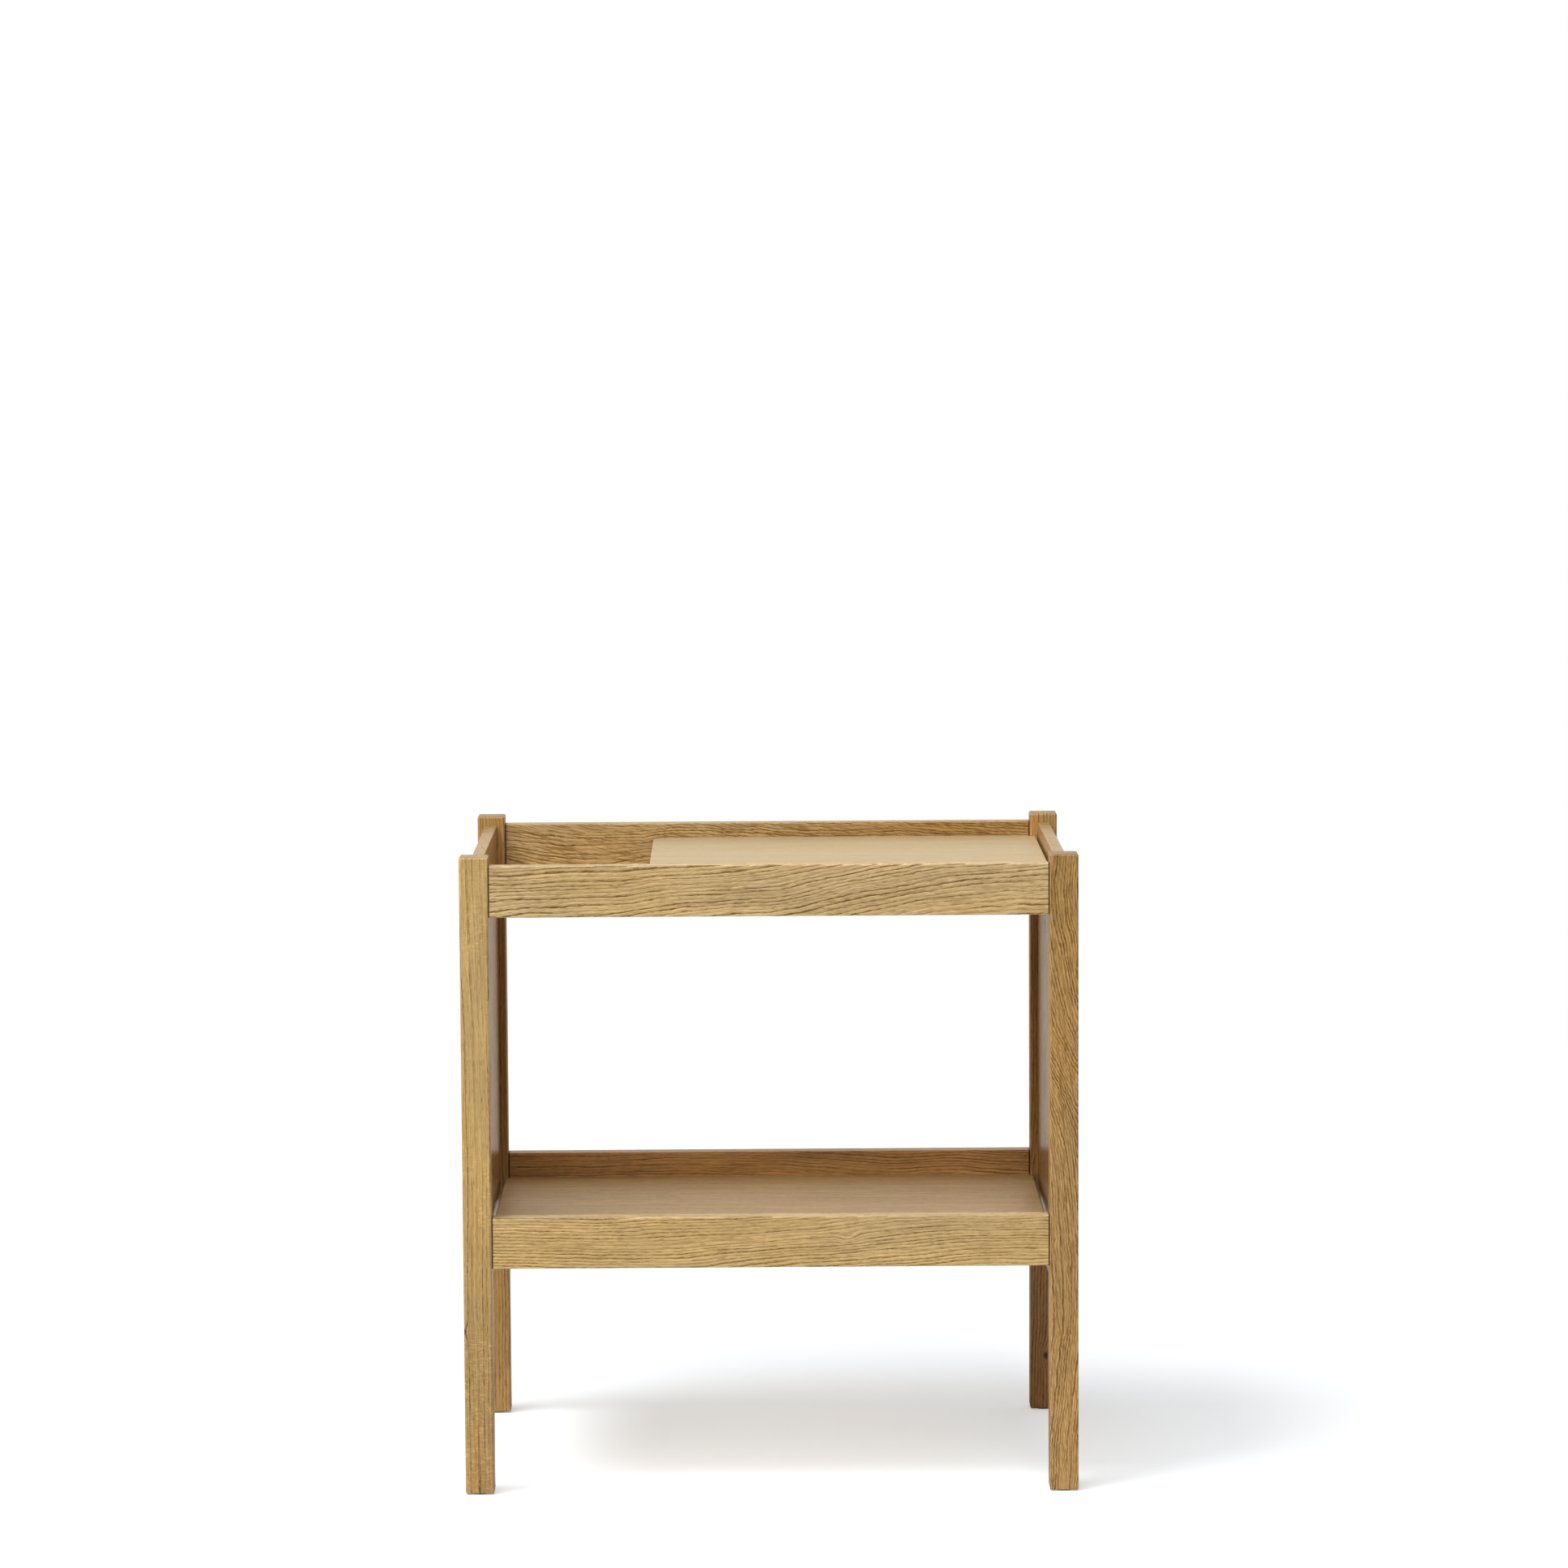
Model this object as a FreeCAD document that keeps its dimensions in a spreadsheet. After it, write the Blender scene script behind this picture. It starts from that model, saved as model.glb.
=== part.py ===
"""Open oak bedside table with a top tray, a lower tray and a sliding lid.

Frame: +Z up, +X to the right, the front faces -Y. The origin is on the floor, under the middle of the
table. All lengths are millimetres, and every one of them comes from the Dimensions sheet.
"""
import FreeCAD, Part
import Sketcher
import os

LEFT, RIGHT = -1, 1
FRONT, BACK = -1, 1
SIDES = ((LEFT, "left"), (RIGHT, "right"))
FACES = ((FRONT, "front"), (BACK, "back"))

DIMENSIONS = (
    # overall
    ("table_width", 600.0),
    ("table_depth", 400.0),
    ("table_height", 628.0),
    # legs
    ("leg_width", 28.0),
    ("leg_round", 2.0),
    # rails round the two trays
    ("rail_height", 50.0),
    ("rail_thickness", 18.0),
    ("rail_setback", 1.5),
    ("rail_round", 1.0),
    ("upper_rail_top", 619.0),
    ("lower_rail_top", 274.0),
    # side panels
    ("panel_thickness", 12.0),
    ("panel_setback", 8.0),
    ("panel_bottom", 183.0),
    ("board_round", 1.0),
    # floor of the top tray
    ("floor_thickness", 6.5),
    ("floor_rebate", 8.0),
    ("floor_housing", 4.0),
    ("notch_gap", 0.5),
    # shelf of the lower tray
    ("shelf_thickness", 12.0),
    ("shelf_drop", 25.5),
    ("shelf_housing", 5.0),
    ("shelf_tongue", 8.0),
    ("shelf_end_gap", 4.5),
    # lid and its runners
    ("lid_thickness", 12.0),
    ("lid_drop", 14.5),
    ("lid_length", 395.5),
    ("lid_end_gap", 2.5),
    ("lid_side_gap", 0.5),
    ("lid_corner", 20.0),
    ("runner_width", 14.0),
    ("runner_inset", 10.0),
    ("runner_edge", 2.0),
    ("runner_length", 370.0),
    ("felt_thickness", 1.0),
    ("felt_width", 10.0),
    ("felt_inset", 5.0),
    # dowels
    ("rail_dowel_diameter", 8.0),
    ("rail_dowel_length", 30.0),
    ("rail_dowel_inset", 13.0),
    ("rail_dowel_shift", 1.0),
    ("panel_dowel_diameter", 6.0),
    ("panel_dowel_length", 28.0),
    ("panel_dowel_inset", 30.0),
    ("dowel_chamfer", 0.8),
    # countersunk wood screws
    ("screw_diameter", 3.2),
    ("screw_head", 6.4),
    ("screw_tip", 1.0),
    ("screw_gap", 0.1),
    ("countersink_angle", 45.0),
    ("floor_screw_length", 16.0),
    ("floor_screw_pitch", 110.0),
    ("lid_screw_length", 24.0),
    ("lid_screw_pitch", 115.0),
    # glides under the feet
    ("glide_diameter", 22.0),
    ("glide_thickness", 1.0),
    ("glide_bevel", 0.4),
    ("nail_diameter", 2.2),
    ("nail_length", 12.0),
)


class Dim:
    """A length that carries its value and the sheet formula that gives it."""

    def __init__(self, value, formula):
        self.value = float(value)
        self.formula = formula

    @staticmethod
    def of(other):
        return other if isinstance(other, Dim) else Dim(other, repr(float(other)))

    def _with(self, other, sign, value):
        return Dim(value, "(%s %s %s)" % (self.formula, sign, other.formula))

    def __add__(self, other):
        other = Dim.of(other)
        return self._with(other, "+", self.value + other.value)

    def __sub__(self, other):
        other = Dim.of(other)
        return self._with(other, "-", self.value - other.value)

    def __mul__(self, other):
        other = Dim.of(other)
        return self._with(other, "*", self.value * other.value)

    def __truediv__(self, other):
        other = Dim.of(other)
        return self._with(other, "/", self.value / other.value)

    def __neg__(self):
        return self * -1


class Dimensions:
    """The driving sheet, one attribute for each of its aliases."""

    def __init__(self, doc):
        sheet = doc.addObject("Spreadsheet::Sheet", "Dimensions")
        for row, (alias, value) in enumerate(DIMENSIONS, start=1):
            sheet.set("A%d" % row, alias.replace("_", " "))
            sheet.set("B%d" % row, str(value))
            sheet.setAlias("B%d" % row, alias)
            setattr(self, alias, Dim(value, "%s.%s" % (sheet.Name, alias)))
        doc.recompute()


def bind(feature, name, value):
    """Tie one property of a feature to the sheet."""
    feature.setExpression(name, Dim.of(value).formula)


# ---------------------------------------------------------------- sketches
PLANE_NORMAL = {"XY_Plane": 1, "XZ_Plane": -1, "YZ_Plane": 1}


def new_body(doc, label, x=0.0, y=0.0, z=0.0):
    body = doc.addObject("PartDesign::Body", label)
    body.Label = label
    body.AllowCompound = True
    for axis, value in (("x", x), ("y", y), ("z", z)):
        bind(body, "Placement.Base." + axis, value)
    return body


def new_sketch(body, plane, level=0.0):
    """An empty sketch on a plane of the body's own origin, moved to a level along that plane's axis."""
    sketch = body.newObject("Sketcher::SketchObject", body.Label + "_sketch")
    support = [p for p in body.Origin.OriginFeatures if p.Role == plane][0]
    sketch.AttachmentSupport = (support, "")
    sketch.MapMode = "FlatFace"
    bind(sketch, "AttachmentOffset.Base.z", Dim.of(level) * PLANE_NORMAL[plane])
    return sketch


def hold(sketch, constraint, value):
    """Add a driving constraint and tie it to the sheet."""
    index = sketch.addConstraint(constraint)
    sketch.setExpression("Constraints[%d]" % index, Dim.of(value).formula)


def hold_point(sketch, geometry, corner, across, up):
    """Fix a point of the sketch by its distances from the sketch's origin."""
    for kind, value in (("DistanceX", across), ("DistanceY", up)):
        hold(sketch, Sketcher.Constraint(kind, -1, 1, geometry, corner, Dim.of(value).value), value)


def add_rectangle(sketch, left, right, low, high):
    left, right, low, high = (Dim.of(value) for value in (left, right, low, high))
    corners = [FreeCAD.Vector(across.value, up.value, 0)
               for across, up in ((left, low), (right, low), (right, high), (left, high))]
    first = sketch.GeometryCount
    for start in range(4):
        sketch.addGeometry(Part.LineSegment(corners[start], corners[(start + 1) % 4]), False)
    for side in range(4):
        sketch.addConstraint(Sketcher.Constraint("Coincident", first + side, 2, first + (side + 1) % 4, 1))
        direction = "Vertical" if side % 2 else "Horizontal"
        sketch.addConstraint(Sketcher.Constraint(direction, first + side))
    hold_point(sketch, first, 1, left, low)
    hold_point(sketch, first + 2, 1, right, high)


def add_circles(sketch, centres, diameter):
    diameter = Dim.of(diameter)
    for across, up in centres:
        middle = FreeCAD.Vector(Dim.of(across).value, Dim.of(up).value, 0)
        circle = Part.Circle(middle, FreeCAD.Vector(0, 0, 1), diameter.value / 2)
        geometry = sketch.addGeometry(circle, False)
        hold(sketch, Sketcher.Constraint("Diameter", geometry, diameter.value), diameter)
        hold_point(sketch, geometry, 3, across, up)


# ---------------------------------------------------------------- features
def add_pad(body, sketch, plane, length, towards=1, taper=None):
    """Raise a sketch; towards is +1 or -1 along the plane's axis."""
    pad = body.newObject("PartDesign::Pad", body.Label + "_pad")
    pad.Profile = sketch
    bind(pad, "Length", length)
    pad.Reversed = towards * PLANE_NORMAL[plane] < 0
    if taper is not None:
        bind(pad, "TaperAngle", taper)
    body.Document.recompute()
    return pad


def add_pocket(body, sketch, plane, depth=None, towards=1, taper=None):
    """Cut a sketch into the body, or right through it both ways when no depth is given."""
    before = body.Shape.Volume
    pocket = body.newObject("PartDesign::Pocket", body.Label + "_cut")
    pocket.Profile = sketch
    if depth is None:
        pocket.Type = "ThroughAll"
        pocket.Midplane = True
    else:
        bind(pocket, "Length", depth)
        pocket.Reversed = towards * PLANE_NORMAL[plane] > 0
    if taper is not None:
        bind(pocket, "TaperAngle", taper)
    body.Document.recompute()
    if not pocket.Shape.Volume < before:
        raise RuntimeError("%s cuts nothing" % pocket.Label)
    return pocket


def round_edges(body, radius, chosen=None):
    """Round the edges that chosen accepts, or every edge."""
    base = body.Tip
    names = ["Edge%d" % (number + 1) for number, edge in enumerate(base.Shape.Edges)
             if chosen is None or chosen(edge)]
    fillet = body.newObject("PartDesign::Fillet", body.Label + "_round")
    fillet.Base = (base, names)
    bind(fillet, "Radius", radius)
    body.Document.recompute()
    return fillet


def bevel_ends(body, size):
    """Chamfer every circular edge of a group of round pins."""
    base = body.Tip
    names = ["Edge%d" % (number + 1) for number, edge in enumerate(base.Shape.Edges)
             if isinstance(edge.Curve, Part.Circle)]
    chamfer = body.newObject("PartDesign::Chamfer", body.Label + "_bevel")
    chamfer.Base = (base, names)
    bind(chamfer, "Size", size)
    body.Document.recompute()
    return chamfer


def board(body, left, right, low, high, bottom, top):
    """A rectangular board between two levels."""
    sketch = new_sketch(body, "XY_Plane", bottom)
    add_rectangle(sketch, left, right, low, high)
    return add_pad(body, sketch, "XY_Plane", Dim.of(top) - bottom)


def long_cut(body, plane, left, right, low, high):
    """A groove or rebate of rectangular section that runs the whole length of a piece."""
    sketch = new_sketch(body, plane)
    add_rectangle(sketch, left, right, low, high)
    return add_pocket(body, sketch, plane)


def bore(body, plane, level, centres, diameter, depth, towards):
    """Blind round holes that start at a level of the plane's axis."""
    sketch = new_sketch(body, plane, level)
    add_circles(sketch, centres, diameter)
    return add_pocket(body, sketch, plane, depth, towards)


def countersunk_bore(dims, body, plane, level, centres, depth, towards):
    """Clearance holes for wood screws, with the countersinks at the level where they start."""
    bore(body, plane, level, centres, dims.screw_diameter + dims.screw_gap, depth, towards)
    sketch = new_sketch(body, plane, level)
    add_circles(sketch, centres, dims.screw_head + dims.screw_gap)
    sink = (dims.screw_head - dims.screw_diameter) / 2
    return add_pocket(body, sketch, plane, sink, towards, -dims.countersink_angle)


def add_pins(body, plane, level, centres, diameter, length, towards):
    """Round pins that start at a level of the plane's axis."""
    sketch = new_sketch(body, plane, level)
    add_circles(sketch, centres, diameter)
    return add_pad(body, sketch, plane, length, towards)


def add_screws(dims, body, plane, level, centres, length, towards):
    """Countersunk wood screws with their heads flush with a level of the plane's axis."""
    add_pins(body, plane, level, centres, dims.screw_diameter, length - dims.screw_tip, towards)
    sink = (dims.screw_head - dims.screw_diameter) / 2
    heads = new_sketch(body, plane, level)
    add_circles(heads, centres, dims.screw_head)
    add_pad(body, heads, plane, sink, towards, -dims.countersink_angle)
    tips = new_sketch(body, plane, Dim.of(level) + (length - dims.screw_tip) * towards)
    add_circles(tips, centres, dims.screw_diameter)
    add_pad(body, tips, plane, dims.screw_tip, towards, -dims.countersink_angle)


# ---------------------------------------------------------------- layout shared by several pieces
class Layout:
    """Levels and distances that more than one piece needs, worked out from the sheet."""

    def __init__(self, dims):
        self.leg_x = dims.table_width / 2 - dims.leg_width / 2
        self.leg_y = dims.table_depth / 2 - dims.leg_width / 2
        self.leg_inner_x = dims.table_width / 2 - dims.leg_width
        self.leg_inner_y = dims.table_depth / 2 - dims.leg_width
        self.leg_foot = dims.glide_thickness
        self.rail_y = dims.table_depth / 2 - dims.rail_setback - dims.rail_thickness / 2
        self.rail_inner_y = self.rail_y - dims.rail_thickness / 2
        self.panel_x = dims.table_width / 2 - dims.panel_setback - dims.panel_thickness / 2
        self.panel_inner_x = self.panel_x - dims.panel_thickness / 2
        self.panel_height = dims.upper_rail_top - dims.panel_bottom
        self.floor_bottom = dims.upper_rail_top - dims.rail_height
        self.floor_top = self.floor_bottom + dims.floor_thickness
        self.floor_screw_y = self.rail_inner_y + dims.floor_rebate / 2
        self.shelf_top = dims.lower_rail_top - dims.shelf_drop
        self.shelf_bottom = self.shelf_top - dims.shelf_thickness
        self.lid_top = dims.upper_rail_top - dims.lid_drop
        self.lid_bottom = self.lid_top - dims.lid_thickness
        self.lid_right = self.panel_inner_x - dims.lid_end_gap
        self.lid_left = self.lid_right - dims.lid_length
        self.lid_y = self.rail_inner_y - dims.lid_side_gap
        self.runner_bottom = self.floor_top + dims.felt_thickness
        self.runner_y = self.lid_y - dims.runner_edge - dims.runner_width / 2
        self.runner_x = self.lid_left + dims.runner_inset + dims.runner_length / 2
        rail_bases = [top - dims.rail_height for top in (dims.upper_rail_top, dims.lower_rail_top)]
        inset = dims.rail_dowel_inset
        self.rail_dowels_up = [inset, dims.rail_height - inset]
        self.rail_dowel_levels = [base + up for base in rail_bases for up in self.rail_dowels_up]
        pitch = (self.panel_height - dims.panel_dowel_inset * 2) / 3
        self.panel_dowels_up = [dims.panel_dowel_inset + pitch * step for step in range(4)]
        self.panel_dowel_levels = [dims.panel_bottom + up for up in self.panel_dowels_up]
        self.floor_screw_rows = [dims.floor_screw_pitch * step for step in (-2, -1, 0, 1, 2)]
        self.lid_screw_rows = [dims.lid_screw_pitch * step for step in (-1.5, -0.5, 0.5, 1.5)]


# ---------------------------------------------------------------- the pieces
def make_leg(doc, dims, place, side, face, label):
    """Square leg: every arris rounded, bored for rail dowels, panel dowels and the glide's nail."""
    half = dims.leg_width / 2
    body = new_body(doc, label, place.leg_x * side, place.leg_y * face, place.leg_foot)
    board(body, -half, half, -half, half, 0.0, dims.table_height - place.leg_foot)
    round_edges(body, dims.leg_round)
    rail_line = (place.rail_y + dims.rail_dowel_shift - place.leg_y) * face
    rail_holes = [(rail_line, level - place.leg_foot) for level in place.rail_dowel_levels]
    bore(body, "YZ_Plane", half * -side, rail_holes,
         dims.rail_dowel_diameter, dims.rail_dowel_length / 2, side)
    panel_line = (place.panel_x - place.leg_x) * side
    panel_holes = [(panel_line, level - place.leg_foot) for level in place.panel_dowel_levels]
    bore(body, "XZ_Plane", half * -face, panel_holes,
         dims.panel_dowel_diameter, dims.panel_dowel_length / 2, face)
    bore(body, "XY_Plane", 0.0, [(0.0, 0.0)], dims.nail_diameter, dims.nail_length, 1)
    return body


def make_rail(doc, dims, place, top, face, label):
    """Rail between two legs, with its end dowel holes; the piece's own origin is at its bottom face."""
    base = top - dims.rail_height
    length_half = place.leg_inner_x
    depth_half = dims.rail_thickness / 2
    body = new_body(doc, label, 0.0, place.rail_y * face, base)
    board(body, -length_half, length_half, -depth_half, depth_half, 0.0, dims.rail_height)
    round_edges(body, dims.rail_round)
    holes = [(dims.rail_dowel_shift * face, up) for up in place.rail_dowels_up]
    for side in (LEFT, RIGHT):
        bore(body, "YZ_Plane", length_half * side, holes,
             dims.rail_dowel_diameter, dims.rail_dowel_length / 2, -side)
    return body


def across_from_inner(dims, face, depth):
    """The two edges, in a rail's own frame, of a cut that starts at its inner face."""
    inner = dims.rail_thickness / 2 * -face
    bottom = inner + depth * face
    return (bottom, inner) if face == FRONT else (inner, bottom)


def make_upper_rail(doc, dims, place, face, label):
    """Upper rail, rebated underneath for the tray floor, with pilot holes for its screws."""
    body = make_rail(doc, dims, place, dims.upper_rail_top, face, label)
    left, right = across_from_inner(dims, face, dims.floor_rebate)
    long_cut(body, "YZ_Plane", left, right, 0.0, dims.floor_thickness)
    screw_line = (place.floor_screw_y - place.rail_y) * face
    pilots = [(row, screw_line) for row in place.floor_screw_rows]
    bore(body, "XY_Plane", dims.floor_thickness, pilots, dims.screw_diameter + dims.screw_gap,
         dims.floor_screw_length - dims.floor_thickness, 1)
    return body


def make_lower_rail(doc, dims, place, face, label):
    """Lower rail, grooved on its inner face for the tongue of the shelf board."""
    body = make_rail(doc, dims, place, dims.lower_rail_top, face, label)
    left, right = across_from_inner(dims, face, dims.shelf_housing)
    groove = dims.rail_height - dims.shelf_drop - dims.shelf_thickness
    long_cut(body, "YZ_Plane", left, right, groove, groove + dims.shelf_tongue)
    return body


def make_side_panel(doc, dims, place, side, label):
    """Side panel, grooved for the tray floor and bored for its dowels."""
    half = dims.panel_thickness / 2
    body = new_body(doc, label, place.panel_x * side, 0.0, dims.panel_bottom)
    board(body, -half, half, -place.leg_inner_y, place.leg_inner_y, 0.0, place.panel_height)
    round_edges(body, dims.board_round)
    inner = half * -side
    deep = inner + dims.floor_housing * side
    left, right = (inner, deep) if side == RIGHT else (deep, inner)
    groove = place.floor_bottom - dims.panel_bottom
    long_cut(body, "XZ_Plane", left, right, groove, groove + dims.floor_thickness)
    dowels = [(0.0, up) for up in place.panel_dowels_up]
    for face in (FRONT, BACK):
        bore(body, "XZ_Plane", place.leg_inner_y * face, dowels,
             dims.panel_dowel_diameter, dims.panel_dowel_length / 2, -face)
    return body


def notched_board(body, dims, place, left, right, end_left, end_right, half_depth, thickness):
    """A board that runs between the legs at its ends and past them in the middle of its depth."""
    board(body, left, right, -half_depth, half_depth, 0.0, thickness)
    end_half = place.leg_inner_y - dims.notch_gap
    return board(body, end_left, end_right, -end_half, end_half, 0.0, thickness)


def make_tray_floor(doc, dims, place, label):
    """Floor of the top tray: in the rails' rebates, housed in the side panels, screwed from below."""
    body = new_body(doc, label, 0.0, 0.0, place.floor_bottom)
    across = place.leg_inner_x - dims.notch_gap
    end = place.panel_inner_x + dims.floor_housing
    notched_board(body, dims, place, -across, across, -end, end,
                  place.rail_inner_y + dims.floor_rebate, dims.floor_thickness)
    holes = [(row, place.floor_screw_y * face) for row in place.floor_screw_rows for face in (FRONT, BACK)]
    countersunk_bore(dims, body, "XY_Plane", 0.0, holes, dims.floor_thickness, 1)
    return body


def make_shelf_board(doc, dims, place, label):
    """Shelf board: tongues along its long edges sit in the lower rails; open at its ends."""
    body = new_body(doc, label, 0.0, 0.0, place.shelf_bottom)
    across = place.leg_inner_x - dims.notch_gap
    end = place.panel_inner_x - dims.shelf_end_gap
    notched_board(body, dims, place, -across, across, -end, end,
                  place.rail_inner_y, dims.shelf_thickness)
    tongue_half = place.rail_inner_y + dims.shelf_housing
    board(body, -across, across, -tongue_half, tongue_half, 0.0, dims.shelf_tongue)
    round_edges(body, dims.board_round,
                lambda edge: all(abs(abs(v.X) - end.value) < 0.01 and v.Z > 0.01 for v in edge.Vertexes))
    return body


def make_lid(doc, dims, place, label):
    """Sliding lid: rounded at its free end, notched round the legs at the other."""
    body = new_body(doc, label, place.lid_left, 0.0, place.lid_bottom)
    across = place.leg_inner_x - dims.notch_gap - place.lid_left
    board(body, 0.0, across, -place.lid_y, place.lid_y, 0.0, dims.lid_thickness)
    round_edges(body, dims.lid_corner,
                lambda edge: all(abs(v.X) < 0.01 for v in edge.Vertexes)
                and abs(edge.Vertexes[0].Z - edge.Vertexes[-1].Z) > 1)
    end_half = place.leg_inner_y - dims.notch_gap
    board(body, across / 2, dims.lid_length, -end_half, end_half, 0.0, dims.lid_thickness)
    top = dims.lid_thickness.value
    round_edges(body, dims.board_round,
                lambda edge: all(abs(v.Z - top) < 0.01 for v in edge.Vertexes))
    middle = place.runner_x - place.lid_left
    pilots = [(middle + row, place.runner_y * face) for row in place.lid_screw_rows for face in (FRONT, BACK)]
    bore(body, "XY_Plane", 0.0, pilots, dims.screw_diameter + dims.screw_gap,
         dims.lid_screw_length - (place.lid_bottom - place.runner_bottom), 1)
    return body


def make_lid_runner(doc, dims, place, face, label):
    """Runner under one long edge of the lid, screwed up into it."""
    half = dims.runner_width / 2
    end = dims.runner_length / 2
    tall = place.lid_bottom - place.runner_bottom
    body = new_body(doc, label, place.runner_x, place.runner_y * face, place.runner_bottom)
    board(body, -end, end, -half, half, 0.0, tall)
    round_edges(body, dims.board_round)
    countersunk_bore(dims, body, "XY_Plane", 0.0, [(row, 0.0) for row in place.lid_screw_rows], tall, 1)
    return body


def make_felt_strips(doc, dims, place, label):
    """Felt under both runners, which slides on the tray floor."""
    half = dims.felt_width / 2
    end = dims.runner_length / 2 - dims.felt_inset
    body = new_body(doc, label, place.runner_x, 0.0, place.floor_top)
    for face in (FRONT, BACK):
        middle = place.runner_y * face
        board(body, -end, end, middle - half, middle + half, 0.0, dims.felt_thickness)
    return body


def make_rail_dowels(doc, dims, place, label):
    """Dowels between the rails and the legs, two at each rail end."""
    body = new_body(doc, label)
    line = place.rail_y + dims.rail_dowel_shift
    centres = [(line * face, level) for face in (FRONT, BACK) for level in place.rail_dowel_levels]
    for side in (LEFT, RIGHT):
        start = (place.leg_inner_x - dims.rail_dowel_length / 2) * side
        add_pins(body, "YZ_Plane", start, centres, dims.rail_dowel_diameter, dims.rail_dowel_length, side)
    bevel_ends(body, dims.dowel_chamfer)
    return body


def make_panel_dowels(doc, dims, place, label):
    """Dowels between the side panels and the legs, four at each panel edge."""
    body = new_body(doc, label)
    centres = [(place.panel_x * side, level) for side in (LEFT, RIGHT) for level in place.panel_dowel_levels]
    for face in (FRONT, BACK):
        start = (place.leg_inner_y - dims.panel_dowel_length / 2) * face
        add_pins(body, "XZ_Plane", start, centres, dims.panel_dowel_diameter, dims.panel_dowel_length, face)
    bevel_ends(body, dims.dowel_chamfer)
    return body


def make_floor_screws(doc, dims, place, label):
    """Screws up through the tray floor into the upper rails."""
    body = new_body(doc, label)
    centres = [(row, place.floor_screw_y * face) for row in place.floor_screw_rows for face in (FRONT, BACK)]
    add_screws(dims, body, "XY_Plane", place.floor_bottom, centres, dims.floor_screw_length, 1)
    return body


def make_lid_screws(doc, dims, place, label):
    """Screws up through the runners into the lid."""
    body = new_body(doc, label, place.runner_x)
    centres = [(row, place.runner_y * face) for row in place.lid_screw_rows for face in (FRONT, BACK)]
    add_screws(dims, body, "XY_Plane", place.runner_bottom, centres, dims.lid_screw_length, 1)
    return body


def foot_centres(place):
    return [(place.leg_x * side, place.leg_y * face) for side in (LEFT, RIGHT) for face in (FRONT, BACK)]


def make_foot_glides(doc, dims, place, label):
    """Thin round glides under the four feet."""
    body = new_body(doc, label)
    add_pins(body, "XY_Plane", 0.0, foot_centres(place), dims.glide_diameter, dims.glide_thickness, 1)
    bevel_ends(body, dims.glide_bevel)
    return body


def make_glide_nails(doc, dims, place, label):
    """Nails that hold the glides in the feet."""
    body = new_body(doc, label)
    add_pins(body, "XY_Plane", place.leg_foot, foot_centres(place), dims.nail_diameter, dims.nail_length, 1)
    return body


def make_table(doc):
    dims = Dimensions(doc)
    place = Layout(dims)
    pieces = []
    for face, face_name in FACES:
        for side, side_name in SIDES:
            pieces.append(make_leg(doc, dims, place, side, face, "leg_%s_%s" % (face_name, side_name)))
        pieces.append(make_upper_rail(doc, dims, place, face, "upper_rail_" + face_name))
        pieces.append(make_lower_rail(doc, dims, place, face, "lower_rail_" + face_name))
        pieces.append(make_lid_runner(doc, dims, place, face, "lid_runner_" + face_name))
    for side, side_name in SIDES:
        pieces.append(make_side_panel(doc, dims, place, side, "side_panel_" + side_name))
    pieces.append(make_tray_floor(doc, dims, place, "tray_floor"))
    pieces.append(make_shelf_board(doc, dims, place, "shelf_board"))
    pieces.append(make_lid(doc, dims, place, "sliding_lid"))
    pieces.append(make_felt_strips(doc, dims, place, "lid_felt_strips"))
    pieces.append(make_rail_dowels(doc, dims, place, "rail_dowels"))
    pieces.append(make_panel_dowels(doc, dims, place, "panel_dowels"))
    pieces.append(make_floor_screws(doc, dims, place, "tray_floor_screws"))
    pieces.append(make_lid_screws(doc, dims, place, "lid_screws"))
    pieces.append(make_foot_glides(doc, dims, place, "foot_glides"))
    pieces.append(make_glide_nails(doc, dims, place, "glide_nails"))
    doc.recompute()
    return pieces


def check(doc, pieces):
    """Stop before writing anything if a feature failed or a shape is empty or broken."""
    for feature in doc.Objects:
        if {"Invalid", "Error"} & set(feature.State):
            raise RuntimeError("%s failed: %s" % (feature.Label, feature.State))
    for piece in pieces:
        shape = piece.Shape
        if shape.isNull() or not shape.isValid() or not shape.Solids:
            raise RuntimeError("%s has no valid solid" % piece.Label)


def write_steps(pieces):
    os.makedirs("parts", exist_ok=True)
    for piece in pieces:
        piece.Shape.exportStep("parts/%s.step" % piece.Label)
        box = piece.Shape.BoundBox
        print("%-20s %2d solids  x %7.1f %7.1f  y %7.1f %7.1f  z %6.1f %6.1f" % (
            piece.Label, len(piece.Shape.Solids), box.XMin, box.XMax, box.YMin, box.YMax, box.ZMin, box.ZMax))


table = FreeCAD.newDocument("BedsideTable")
table_pieces = make_table(table)
check(table, table_pieces)
write_steps(table_pieces)
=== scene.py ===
import math

import bmesh
import bpy
from mathutils import Matrix, Vector


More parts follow.
